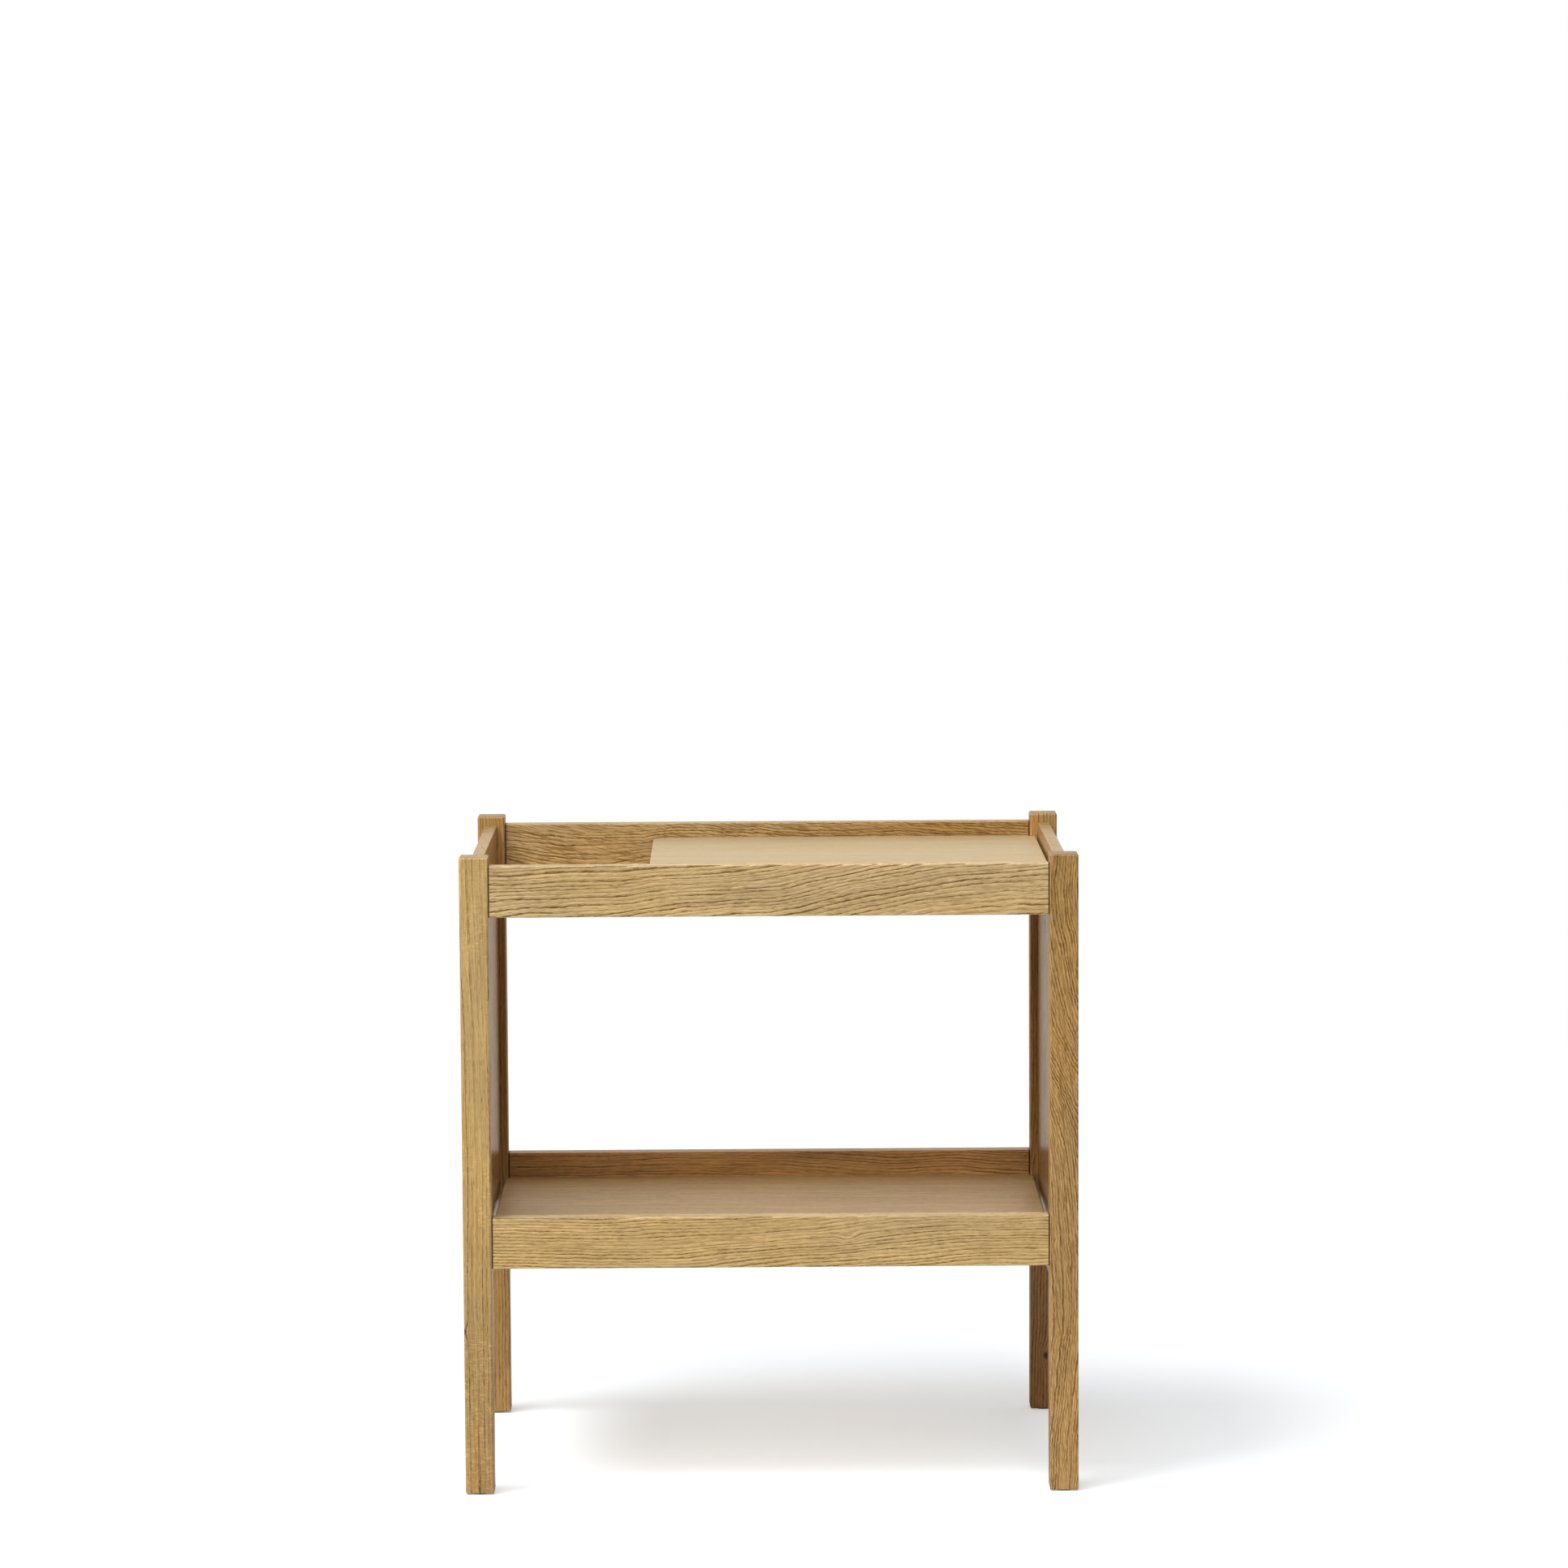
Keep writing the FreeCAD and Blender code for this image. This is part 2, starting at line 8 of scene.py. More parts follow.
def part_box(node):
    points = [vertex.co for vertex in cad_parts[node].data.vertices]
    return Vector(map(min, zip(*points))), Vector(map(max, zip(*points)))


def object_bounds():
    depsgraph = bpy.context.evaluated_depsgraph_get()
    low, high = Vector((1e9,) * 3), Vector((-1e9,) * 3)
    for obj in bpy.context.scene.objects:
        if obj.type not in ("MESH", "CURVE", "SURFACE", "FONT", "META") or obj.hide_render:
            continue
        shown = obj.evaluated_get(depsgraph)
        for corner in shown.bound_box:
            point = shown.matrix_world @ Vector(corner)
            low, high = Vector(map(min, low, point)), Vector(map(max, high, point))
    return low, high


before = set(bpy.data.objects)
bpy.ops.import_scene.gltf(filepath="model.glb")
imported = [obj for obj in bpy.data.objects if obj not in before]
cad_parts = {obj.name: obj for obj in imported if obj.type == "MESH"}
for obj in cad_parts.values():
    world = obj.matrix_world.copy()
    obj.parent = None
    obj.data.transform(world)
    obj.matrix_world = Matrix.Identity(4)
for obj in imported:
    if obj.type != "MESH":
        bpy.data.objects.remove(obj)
cad_low, cad_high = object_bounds()

MM = 1000.0        # the frame is in metres, the materials work in millimetres
OPAQUE = (1.0,)     # alpha added to a colour of three numbers

# Fixed colours and tints of the oak, linear RGB
KNOT_HEART = (0.055, 0.026, 0.012, 1.0)
# painted shade: the thin dark line at a board's ends, in the joint with the next part
PAINTED_JOINT_SHADE = (0.050, 0.022, 0.010, 1.0)
WARMER, COOLER = (1.02, 1.0, 0.95, 1.0), (0.985, 1.0, 1.06, 1.0)
# paler edges: partly worn lacquer, partly painted highlight on the rounded edges
PALER_WORN_AND_HIGHLIT = (1.18, 1.24, 1.40, 1.0)
LACQUER_TINT = (1.0, 0.93, 0.82, 1.0)
LACQUER_IOR = 1.5


# ---------------------------------------------------------------- node helpers

class Net:
    """Adds nodes to a tree; a value is either a socket to link or a plain constant."""

    def __init__(self, tree):
        self.tree = tree

    def node(self, kind, **settings):
        made = self.tree.nodes.new(kind)
        for name, value in settings.items():
            setattr(made, name, value)
        made.location = (190 * (len(self.tree.nodes) % 14), -190 * (len(self.tree.nodes) // 14))
        return made

    def put(self, socket, value):
        if isinstance(value, bpy.types.NodeSocket):
            self.tree.links.new(value, socket)
        elif value is not None:
            socket.default_value = value

    def math(self, operation, *values, clamp=False):
        made = self.node("ShaderNodeMath", operation=operation, use_clamp=clamp)
        for socket, value in zip(made.inputs, values):
            self.put(socket, value)
        return made.outputs[0]

    def vmath(self, operation, *values):
        made = self.node("ShaderNodeVectorMath", operation=operation)
        for socket, value in zip(made.inputs, values):
            self.put(socket, value)
        return made.outputs["Value"] if operation in ("LENGTH", "DOT_PRODUCT") else made.outputs[0]

    def split(self, vector):
        made = self.node("ShaderNodeSeparateXYZ")
        self.put(made.inputs[0], vector)
        return list(made.outputs)

    def join(self, x, y, z):
        made = self.node("ShaderNodeCombineXYZ")
        for socket, value in zip(made.inputs, (x, y, z)):
            self.put(socket, value)
        return made.outputs[0]

    def noise(self, vector, size, shift=0.0, detail=1.0, roughness=0.5):
        """Noise with a feature of the given size (mm) along each axis."""
        scaled = self.vmath("MULTIPLY", vector, tuple(1.0 / s for s in size))
        if isinstance(shift, bpy.types.NodeSocket):
            scaled = self.vmath("ADD", scaled, self.join(shift, self.math("MULTIPLY", shift, 1.7),
                                                         self.math("MULTIPLY", shift, 2.3)))
        elif shift:
            scaled = self.vmath("ADD", scaled, (shift, 1.7 * shift, 2.3 * shift))
        made = self.node("ShaderNodeTexNoise", noise_dimensions="3D")
        self.put(made.inputs["Vector"], scaled)
        made.inputs["Scale"].default_value = 1.0
        made.inputs["Detail"].default_value = detail
        made.inputs["Roughness"].default_value = roughness
        return made.outputs[0]

    def remap(self, value, low, high, to_low=0.0, to_high=1.0):
        made = self.node("ShaderNodeMapRange", interpolation_type="SMOOTHSTEP")
        for name, item in (("Value", value), ("From Min", low), ("From Max", high),
                           ("To Min", to_low), ("To Max", to_high)):
            self.put(made.inputs[name], item)
        return made.outputs["Result"]

    def mix(self, factor, first, second, blend="MIX"):
        made = self.node("ShaderNodeMix", data_type="RGBA", blend_type=blend, clamp_factor=True)
        self.put(made.inputs["Factor"], factor)
        self.put(made.inputs[6], first)
        self.put(made.inputs[7], second)
        return made.outputs[2]


def new_group(name, inputs, outputs):
    """Node group with the given sockets; returns (group, net, inputs by name, output node)."""
    group = bpy.data.node_groups.new(name, "ShaderNodeTree")
    kinds = {"v": "NodeSocketVector", "f": "NodeSocketFloat", "c": "NodeSocketColor"}
    for label, kind in inputs:
        group.interface.new_socket(label, in_out="INPUT", socket_type=kinds[kind])
    for label, kind in outputs:
        group.interface.new_socket(label, in_out="OUTPUT", socket_type=kinds[kind])
    net = Net(group)
    source = net.node("NodeGroupInput")
    return group, net, {s.name: s for s in source.outputs if s.name}, net.node("NodeGroupOutput")


def set_bump(net, shader, height, distance):
    relief = net.node("ShaderNodeBump")
    relief.inputs["Strength"].default_value = 1.0
    relief.inputs["Distance"].default_value = distance
    net.put(relief.inputs["Height"], height)
    net.put(shader.inputs["Normal"], relief.outputs["Normal"])


# ---------------------------------------------------------------- solid oak

def make_oak_group():
    """Solid oak: growth rings round a pith line, with everything finer laid along them.

    Position is (along the grain, across, deep) in mm from the middle of the board. Every noise size
    is in mm in that order; the number after it only shifts the noise to a place of its own."""
    group, net, arg, out = new_group(
        "solid_oak",
        [("Position", "v"), ("Seed", "f"), ("Pith Across", "f"), ("Pith Deep", "f"),
         ("Ring Pitch", "f"), ("Slope", "f"), ("Rise", "f"), ("Rise At", "f"),
         ("Wave", "f"), ("Ripple", "f"), ("Pore Tilt", "f"),
         ("Knot", "v"), ("Knot Size", "f"), ("Knot Dark", "f"),
         ("Light", "c"), ("Dark", "c"), ("Pore", "c"),
         ("Contrast", "f"), ("Pores", "f"), ("Flecks", "f"), ("Flecks Below", "f"),
         ("Mottle", "f"), ("Fibre", "f"), ("Streak", "f")],
        [("Color", "c"), ("Height", "f"), ("Roughness", "f")])
    at, seed = arg["Position"], arg["Seed"]
    along, across, deep = net.split(at)

    def swing(size, amount, shift, detail=1.0):
        """Noise that swings by half the amount (mm) to either side of zero."""
        value = net.noise(at, size, net.math("ADD", seed, shift), detail)
        return net.math("MULTIPLY", net.math("SUBTRACT", value, 0.5), amount)

    # the lines of the rings wander: a long sway, and a short ripple on it
    sway = net.math("ADD", swing((230, 110, 110), 38.0, 3.1), swing((62, 34, 34), 8.0, 11.7))
    wave = net.math("MULTIPLY", sway, arg["Wave"])
    ripple = net.math("ADD", swing((17, 8, 8), 1.3, 23.9), swing((6, 2.4, 2.4), 0.9, 71.3, 2.0))
    ripple = net.math("MULTIPLY", ripple, arg["Ripple"])

    # a knot is drawn out along the grain and pushes the rings round itself
    knot_stretch, knot_falloff, knot_strength = (0.55, 1.0, 1.0), -0.16, 1.6
    from_knot = net.vmath("SUBTRACT", at, arg["Knot"])
    knot_far = net.vmath("LENGTH", net.vmath("MULTIPLY", from_knot, knot_stretch))
    knot_near = net.math("DIVIDE", knot_far, arg["Knot Size"])
    knot_pull = net.math("EXPONENT", net.math("MULTIPLY", net.math("POWER", knot_near, 2.0),
                                              knot_falloff))
    knot_push = net.math("MULTIPLY", knot_pull, net.math("MULTIPLY", arg["Knot Size"], knot_strength))

    def length(a, b):
        return net.math("SQRT", net.math("ADD", net.math("MULTIPLY", a, a), net.math("MULTIPLY", b, b)))

    # distance from the pith, with the lean of the fibre along the board
    off_across = net.math("SUBTRACT", across, arg["Pith Across"])
    off_deep = net.math("SUBTRACT", deep, arg["Pith Deep"])
    radius = length(off_across, off_deep)
    start = length(arg["Pith Across"], arg["Pith Deep"])
    rise_length = 130.0
    past = net.math("DIVIDE", net.math("SUBTRACT", along, arg["Rise At"]), rise_length)
    lean = net.math("ADD", net.math("MULTIPLY", along, arg["Slope"]),
                    net.math("MULTIPLY", net.math("TANH", past), arg["Rise"]))
    depth = net.math("ADD", net.math("ADD", radius, lean),
                     net.math("ADD", net.math("ADD", wave, ripple), knot_push))
    round_it = net.math("MULTIPLY", net.math("ARCTAN2", off_across, off_deep), start)
    grain = net.join(along, depth, round_it)

    # wide and narrow years
    years = net.noise(net.join(depth, seed, 0.0), (11, 1, 1))
    uneven = net.math("MULTIPLY", net.math("SUBTRACT", years, 0.5), 2.4)
    phase = net.math("ADD", net.math("DIVIDE", depth, arg["Ring Pitch"]), uneven)
    ring = net.math("FLOOR", phase)
    part = net.math("SUBTRACT", phase, ring)

    # early wood: a sharp start and a soft end; its strength changes from ring to ring and along it
    ring_at = net.join(along, net.math("MULTIPLY", ring, 7.3), seed)
    ring_strength = net.remap(net.noise(ring_at, (400, 1, 1)), 0.36, 0.62, 0.30, 1.0)
    broken = net.remap(net.noise(ring_at, (30, 1, 1), 19.0, 2.0, 0.6), 0.34, 0.58, 0.45, 1.0)
    strength = net.math("MULTIPLY", ring_strength, broken)
    part_mm = net.math("MULTIPLY", part, arg["Ring Pitch"])
    early = net.math("MULTIPLY", net.remap(part_mm, 0.0, 0.18),
                     net.remap(part_mm, 0.35, 1.25, 1.0, 0.0))
    band = net.math("MULTIPLY", early, strength)
    late = net.remap(part, 0.62, 0.96)

    # vessels run straight with the fibre and show only where a ring's early wood meets the face
    beside = net.math("SUBTRACT", net.math("ADD", across, net.math("MULTIPLY", wave, 0.4)),
                      net.math("MULTIPLY", along, arg["Pore Tilt"]))
    fibre_at = net.join(along, beside, deep)
    pore_row = net.remap(net.noise(fibre_at, (6.0, 0.62, 0.62), seed), 0.44, 0.53)
    pore_zone = net.math("MULTIPLY", net.remap(part_mm, 0.0, 0.15),
                         net.remap(part_mm, 0.75, 1.35, 1.0, 0.0))
    pore_zone = net.math("MULTIPLY", pore_zone, net.remap(strength, 0.15, 0.85, 0.2, 1.0))
    stray = net.remap(net.noise(fibre_at, (9.0, 0.6, 0.6), 41.0), 0.60, 0.67, 0.0, 0.55)
    pores = net.math("MAXIMUM", net.math("MULTIPLY", pore_row, pore_zone), stray)
    pores = net.math("MULTIPLY", pores, arg["Pores"], clamp=True)

    # fine dark streaks and fibres, and broad patches of lighter and darker wood
    streak = net.remap(net.noise(fibre_at, (20.0, 0.95, 0.95), 97.0, 2.0), 0.53, 0.62)
    fibre = net.noise(grain, (24.0, 1.0, 1.0), 67.0, 3.0, 0.65)
    zone = net.noise(grain, (190.0, 11.0, 11.0), net.math("ADD", seed, 61.0), 2.0)
    mottle = net.noise(at, (120, 26, 26), net.math("ADD", seed, 5.5), 2.0)

    # ray flecks: thin pale lines across the grain, in patches and all over below one height
    bowed = net.math("ADD", along, swing((60, 9, 9), 5.0, 37.0))
    fleck = net.remap(net.noise(net.join(bowed, across, deep), (1.0, 5.5, 5.5), 83.0), 0.55, 0.64)
    fleck_zone = net.remap(net.noise(at, (70, 30, 30), net.math("ADD", seed, 29.0)),
                           0.45, 0.65, 0.0, 0.5)
    below = net.math("SUBTRACT", along, arg["Flecks Below"])
    fleck_zone = net.math("MAXIMUM", fleck_zone, net.remap(below, -30.0, 25.0, 1.0, 0.0))
    fleck = net.math("MULTIPLY", net.math("MULTIPLY", fleck, fleck_zone), arg["Flecks"], clamp=True)

    # colour: dark bands and pores on the light wood, shaded by fibre, patches, late wood and flecks
    late_shade, fleck_shade = 0.20, 0.32
    dark = net.math("MAXIMUM", band, net.math("MULTIPLY", streak, arg["Streak"]))
    dark = net.math("MULTIPLY", dark, arg["Contrast"], clamp=True)
    color = net.mix(dark, arg["Light"], arg["Dark"])
    color = net.mix(pores, color, arg["Pore"])
    shade = net.math("ADD", net.math("MULTIPLY", net.math("SUBTRACT", fibre, 0.5), arg["Fibre"]), 1.0)
    patches = net.math("SUBTRACT", net.math("ADD", mottle, zone), 1.0)
    shade = net.math("ADD", shade, net.math("MULTIPLY", patches, arg["Mottle"]))
    late = net.math("MULTIPLY", late, arg["Contrast"])
    shade = net.math("ADD", shade, net.math("MULTIPLY", late, late_shade))
    shade = net.math("ADD", shade, net.math("MULTIPLY", fleck, fleck_shade))
    warm = net.remap(net.noise(at, (160, 40, 40), net.math("ADD", seed, 47.0)), 0.3, 0.7)
    tint = net.mix(warm, WARMER, COOLER)
    color = net.mix(1.0, color, tint, "MULTIPLY")
    color = net.mix(1.0, color, net.join(shade, shade, shade), "MULTIPLY")
    core = net.math("MULTIPLY", net.remap(knot_near, 0.35, 1.25, 1.0, 0.0), arg["Knot Dark"])
    color = net.mix(core, color, KNOT_HEART)

    # relief: the fibre stands up, pores and early wood lie deeper; both make the face rougher
    sunk = net.math("ADD", net.math("MULTIPLY", pores, 0.75), net.math("MULTIPLY", band, 0.10))
    height = net.math("SUBTRACT", net.math("MULTIPLY", fibre, 0.30), sunk)
    rough = net.math("ADD", net.math("MULTIPLY", pores, 0.22), net.math("MULTIPLY", fibre, 0.12))
    net.put(out.inputs["Color"], color)
    net.put(out.inputs["Height"], height)
    net.put(out.inputs["Roughness"], rough)
    return group


def make_edge_group():
    """How near a surface point is to an edge of its board: 1 on the edge, 0 from 1 to 4 mm away."""
    group, net, arg, out = new_group("board_edge", [("Position", "v"), ("Half", "v")], [("Edge", "f")])
    gap = net.vmath("SUBTRACT", arg["Half"], net.vmath("ABSOLUTE", arg["Position"]))
    a, b, c = net.split(gap)
    # the middle one of the three gaps: the smallest is 0 all over a face, two are 0 on an edge
    second = net.math("MINIMUM",
                      net.math("MINIMUM", net.math("MAXIMUM", a, b), net.math("MAXIMUM", b, c)),
                      net.math("MAXIMUM", a, c))
    ragged = net.noise(arg["Position"], (9, 9, 9), 7.0, 3.0, 0.7)
    reach = net.math("ADD", 0.8, net.math("MULTIPLY", ragged, 3.2))
    net.put(out.inputs["Edge"], net.remap(second, 0.0, reach, 1.0, 0.0))
    return group


OAK = make_oak_group()
EDGE = make_edge_group()

AXES = {"x_face_y": (0, 2, 1),      # rails: grain along X, seen face across Z
        "x_face_z": (0, 1, 2),      # flat boards: grain along X, seen face across Y
        "z_face_y": (2, 0, 1),      # legs: grain along Z
        "z_face_x": (2, 1, 0)}      # side panels: grain along Z, seen face across Y
NO_KNOT = (0.0, 900.0, 0.0)         # far outside every board
NOWHERE = -9000.0                   # below every board


def oak_material(node, axes, seed, light, dark, pore, pith=(60.0, 45.0), pitch=3.6,
                 slope=0.0, rise=0.0, rise_at=0.0, wave=1.0, ripple=1.0, tilt=0.0,
                 knot=NO_KNOT, knot_size=3.0, knot_dark=0.0,
                 contrast=0.8, pores=0.8, flecks=0.3, flecks_below=NOWHERE,
                 mottle=0.42, fibre=1.1, streak=0.35,
                 roughness=0.32, bump=0.00012, wear_and_highlight=0.6, shine=0.4, end_grain=0.56,
                 painted_joint_shade=0.0, painted_shade_low=None, painted_shade_high=None):
    """One board's oak, placed on its own box so that no two boards repeat.

    end_grain darkens the two ends; a thin dark line at them is painted joint shade. Painted shade
    toward the low or high end multiplies the colour toward that end of the board along the grain."""
    low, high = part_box(node)
    middle = (low + high) * (0.5 * MM)
    half = (high - low) * (0.5 * MM)
    order = AXES[axes]
    mat = bpy.data.materials.new("oak_" + node)
    mat.use_nodes = True
    tree = mat.node_tree
    tree.nodes.clear()
    net = Net(tree)
    where = net.node("ShaderNodeTexCoord").outputs["Object"]
    where = net.vmath("SUBTRACT", net.vmath("MULTIPLY", where, (MM, MM, MM)), tuple(middle))
    parts = net.split(where)
    at = net.join(*(parts[i] for i in order))
    oak = net.node("ShaderNodeGroup", node_tree=OAK)
    for name, value in (("Position", at), ("Seed", seed),
                        ("Pith Across", pith[0]), ("Pith Deep", pith[1]),
                        ("Ring Pitch", pitch), ("Slope", slope), ("Rise", rise), ("Rise At", rise_at),
                        ("Wave", wave), ("Ripple", ripple), ("Pore Tilt", tilt),
                        ("Knot", knot), ("Knot Size", knot_size), ("Knot Dark", knot_dark),
                        ("Light", light + OPAQUE), ("Dark", dark + OPAQUE), ("Pore", pore + OPAQUE),
                        ("Contrast", contrast), ("Pores", pores),
                        ("Flecks", flecks), ("Flecks Below", flecks_below),
                        ("Mottle", mottle), ("Fibre", fibre), ("Streak", streak)):
        net.put(oak.inputs[name], value)
    edge = net.node("ShaderNodeGroup", node_tree=EDGE)
    net.put(edge.inputs["Position"], at)
    net.put(edge.inputs["Half"], tuple(half[i] for i in order))
    # edges paler: partly worn lacquer, partly painted highlight where the rounded edges catch light;
    # the same mask makes them a little rougher
    worn = net.math("MULTIPLY", edge.outputs["Edge"], wear_and_highlight)
    worn_and_highlit_color = net.mix(1.0, oak.outputs["Color"], PALER_WORN_AND_HIGHLIT, "MULTIPLY")
    color = net.mix(worn, oak.outputs["Color"], worn_and_highlit_color)
    normal = net.node("ShaderNodeTexCoord").outputs["Normal"]
    facing = net.split(net.vmath("ABSOLUTE", normal))[order[0]]
    duller = net.mix(1.0, color, (end_grain, end_grain, end_grain, 1.0), "MULTIPLY")
    color = net.mix(net.remap(facing, 0.6, 0.95), color, duller)
    along, reach = parts[order[0]], half[order[0]]
    # painted shade: the colour darkens toward the low or high end of the board along the grain
    for fade, start, end in ((painted_shade_low, -1.2 * reach, 0.7 * reach),
                             (painted_shade_high, 0.8 * reach, -0.6 * reach)):
        if fade:
            faded = net.mix(1.0, color, fade + OPAQUE, "MULTIPLY")
            color = net.mix(net.remap(along, start, end, 1.0, 0.0), color, faded)
    # painted shade: a thin dark line along both ends of the board, in the joint with the next part
    if painted_joint_shade:
        from_end = net.math("SUBTRACT", reach, net.math("ABSOLUTE", along))
        color = net.mix(net.remap(from_end, 0.9, 1.7, painted_joint_shade, 0.0), color, PAINTED_JOINT_SHADE)
    rough = net.math("ADD", net.math("ADD", oak.outputs["Roughness"], roughness - 0.06),
                     net.math("MULTIPLY", worn, 0.06), clamp=True)
    shader = net.node("ShaderNodeBsdfPrincipled")
    shader.inputs["IOR"].default_value = LACQUER_IOR
    shader.inputs["Specular IOR Level"].default_value = shine
    shader.inputs["Specular Tint"].default_value = LACQUER_TINT
    net.put(shader.inputs["Base Color"], color)
    net.put(shader.inputs["Roughness"], rough)
    set_bump(net, shader, oak.outputs["Height"], bump)
    output = net.node("ShaderNodeOutputMaterial")
    net.put(output.inputs["Surface"], shader.outputs[0])
    return mat


# ---------------------------------------------------------------- other materials

def plain_material(name):
    """Empty material with one shader; returns (material, net, shader, object position in mm)."""
    mat = bpy.data.materials.new(name)
    mat.use_nodes = True
    mat.node_tree.nodes.clear()
    net = Net(mat.node_tree)
    at = net.vmath("MULTIPLY", net.node("ShaderNodeTexCoord").outputs["Object"], (MM, MM, MM))
    shader = net.node("ShaderNodeBsdfPrincipled")
    output = net.node("ShaderNodeOutputMaterial")
    net.put(output.inputs["Surface"], shader.outputs[0])
    return mat, net, shader, at


def steel_material():
    mat, net, shader, at = plain_material("zinc_steel")
    cloud = net.noise(at, (2.2, 2.2, 2.2), 3.0, 3.0, 0.6)
    scratch = net.noise(at, (0.25, 3.0, 0.25), 9.0, 2.0)
    net.put(shader.inputs["Base Color"], net.mix(cloud, (0.46, 0.46, 0.45, 1), (0.66, 0.65, 0.62, 1)))
    worn = net.math("ADD", cloud, scratch)
    net.put(shader.inputs["Roughness"], net.remap(worn, 0.7, 1.3, 0.26, 0.46))
    shader.inputs["Metallic"].default_value = 1.0
    set_bump(net, shader, scratch, 0.00003)
    return mat


def felt_material():
    mat, net, shader, at = plain_material("grey_felt")
    tuft = net.noise(at, (0.9, 0.9, 0.9), 2.0, 4.0, 0.7)
    hair = net.noise(at, (3.0, 0.3, 0.3), 5.0, 3.0, 0.7)
    mottle = net.math("MULTIPLY", net.math("ADD", tuft, hair), 0.5)
    net.put(shader.inputs["Base Color"],
            net.mix(net.remap(mottle, 0.35, 0.65), (0.11, 0.10, 0.09, 1), (0.26, 0.24, 0.21, 1)))
    shader.inputs["Roughness"].default_value = 0.95
    shader.inputs["Sheen Weight"].default_value = 0.6
    shader.inputs["Sheen Roughness"].default_value = 0.5
    set_bump(net, shader, mottle, 0.0004)
    return mat


def glide_material():
    mat, net, shader, at = plain_material("moulded_glide")
    cloud = net.noise(at, (5, 5, 5), 4.0, 3.0)
    pebble = net.noise(at, (0.5, 0.5, 0.5), 8.0, 2.0)
    net.put(shader.inputs["Base Color"], net.mix(cloud, (0.50, 0.46, 0.40, 1), (0.60, 0.56, 0.50, 1)))
    net.put(shader.inputs["Roughness"], net.remap(pebble, 0.3, 0.7, 0.42, 0.60))
    set_bump(net, shader, pebble, 0.00006)
    return mat


def beech_material():
    mat, net, shader, at = plain_material("turned_beech")
    streak = net.noise(at, (9, 1.0, 1.6), 6.0, 3.0)
    ray = net.remap(net.noise(at, (2.4, 0.35, 0.35), 13.0, 1.0), 0.60, 0.70)
    color = net.mix(streak, (0.60, 0.40, 0.24, 1), (0.70, 0.52, 0.34, 1))
    color = net.mix(net.math("MULTIPLY", ray, 0.5), color, (0.40, 0.22, 0.12, 1))
    net.put(shader.inputs["Base Color"], color)
    net.put(shader.inputs["Roughness"], net.remap(streak, 0.3, 0.7, 0.50, 0.62))
    set_bump(net, shader, ray, 0.0001)
    return mat


def dress(node, mat):
    """Put one material in every slot of a piece."""
    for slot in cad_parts[node].material_slots:
        slot.material = mat


# ---------------------------------------------------------------- boards

# Linear RGB of early and late wood. Boards differ as they do in the photo
LIGHT, DARK, PORE = (0.628, 0.442, 0.208), (0.275, 0.150, 0.026), (0.170, 0.078, 0.008)
RAIL_LIGHT = (0.608, 0.416, 0.178)
LEG_LIGHT, LEG_DARK = (0.578, 0.384, 0.146), (0.270, 0.146, 0.032)
# The WARM, BACK and BROWN colours of the back legs, side panels and back rails are darker and warmer
# than the front boards': partly the wood's own tone, partly painted shade for these boards that sit in
# shade
WARM_LIGHT, WARM_DARK = (0.470, 0.280, 0.098), (0.215, 0.092, 0.015)
GOLD_LIGHT = (0.480, 0.292, 0.106)
RED_PORE = (0.155, 0.062, 0.006)
BACK_LIGHT, BACK_DARK = (0.515, 0.352, 0.158), (0.215, 0.110, 0.022)
BROWN_LIGHT, BROWN_DARK = (0.570, 0.320, 0.120), (0.190, 0.082, 0.018)
PALE_LIGHT, PALE_DARK = (0.495, 0.378, 0.202), (0.385, 0.278, 0.132)
SHELF_LIGHT, SHELF_DARK = (0.680, 0.484, 0.240), (0.445, 0.286, 0.124)
TRAY_LIGHT, TRAY_DARK = (0.590, 0.432, 0.222), (0.420, 0.286, 0.130)

# What boards of one kind share
RAIL = dict(axes="x_face_y", dark=DARK, pore=PORE)
LEG = dict(axes="z_face_y", light=WARM_LIGHT, dark=WARM_DARK, pore=PORE)
PANEL = dict(axes="z_face_x", light=WARM_LIGHT, dark=WARM_DARK, pore=PORE, pitch=2.4, wave=0.9,
             ripple=0.9, tilt=0.10, roughness=0.20, bump=0.0004, wear_and_highlight=0.3, shine=0.5, end_grain=0.92)
FLAT = dict(axes="x_face_z", pore=BROWN_DARK)
RUNNER = dict(axes="x_face_y", light=LIGHT, dark=DARK, pore=PORE, wave=0.4, ripple=0.7)

